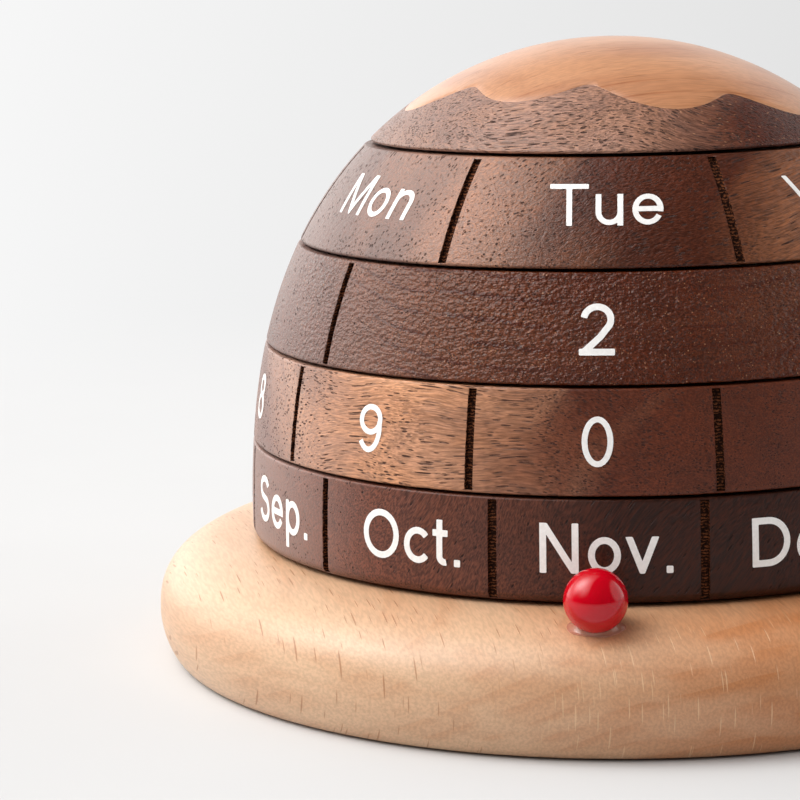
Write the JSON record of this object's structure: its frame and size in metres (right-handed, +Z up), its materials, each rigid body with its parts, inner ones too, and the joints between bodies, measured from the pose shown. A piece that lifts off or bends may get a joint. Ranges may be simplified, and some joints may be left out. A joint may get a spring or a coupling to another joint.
{
  "type": "perpetual desk calendar",
  "caption": "Dome-shaped wooden perpetual calendar whose walnut rings turn on a spindle to line weekday, date and month up over a red bead.",
  "frame": {"origin": "centre of the foot pad's underside, where the calendar rests on the desk", "axes": "+Z up the spindle that the rings turn on; the index bead stands at the front, on -Y"},
  "size_m": [0.13, 0.13, 0.0853],
  "materials": {
    "beech": "pale orange beech, fine sanded, thin satin oil",
    "walnut_month": "dark walnut, satin oil",
    "walnut_units": "warm mid-brown walnut, satin oil",
    "walnut_tens": "dark walnut with long growth lines, satin oil",
    "walnut_weekday": "reddish mid-brown walnut, satin oil",
    "walnut_cap": "mid-brown walnut, satin oil",
    "felt": "pressed wool felt, dark grey",
    "steel": "turned, zinc plated",
    "brass": "turned brass",
    "nylon": "moulded nylon",
    "red_lacquer": "glossy red lacquer",
    "clear_glue": "set clear adhesive, glossy",
    "white_print": "white screen printing ink"
  },
  "bodies": {
    "stand": {"base": "beech", "foot_pad": "felt", "spindle": "steel", "tie_bolt": "steel", "bolt_washer": "steel", "crown_insert": "brass", "cap_body": "walnut_cap", "cap_slip_washer": "felt", "crown": "beech", "index_bead": "red_lacquer", "index_pin": "brass", "bead_glue": "clear_glue"},
    "month": {"month_ring": "walnut_month", "month_bush": "nylon", "month_slip_washer": "felt"},
    "date_units": {"date_units_ring": "walnut_units", "date_units_bush": "nylon", "date_units_slip_washer": "felt"},
    "date_tens": {"date_tens_ring": "walnut_tens", "date_tens_bush": "nylon", "date_tens_slip_washer": "felt"},
    "weekday": {"weekday_ring": "walnut_weekday", "weekday_bush": "nylon", "weekday_slip_washer": "felt"}
  },
  "joints": [
    {"name": "month_turn", "type": "hinge", "parent": "stand", "child": "month", "pos_m": [0, 0, 0.0234], "axis": [0, 0, 1], "continuous": true},
    {"name": "date_units_turn", "type": "hinge", "parent": "stand", "child": "date_units", "pos_m": [0, 0, 0.037], "axis": [0, 0, 1], "continuous": true},
    {"name": "date_tens_turn", "type": "hinge", "parent": "stand", "child": "date_tens", "pos_m": [0, 0, 0.05075], "axis": [0, 0, 1], "continuous": true},
    {"name": "weekday_turn", "type": "hinge", "parent": "stand", "child": "weekday", "pos_m": [0, 0, 0.0645], "axis": [0, 0, 1], "continuous": true}
  ]
}
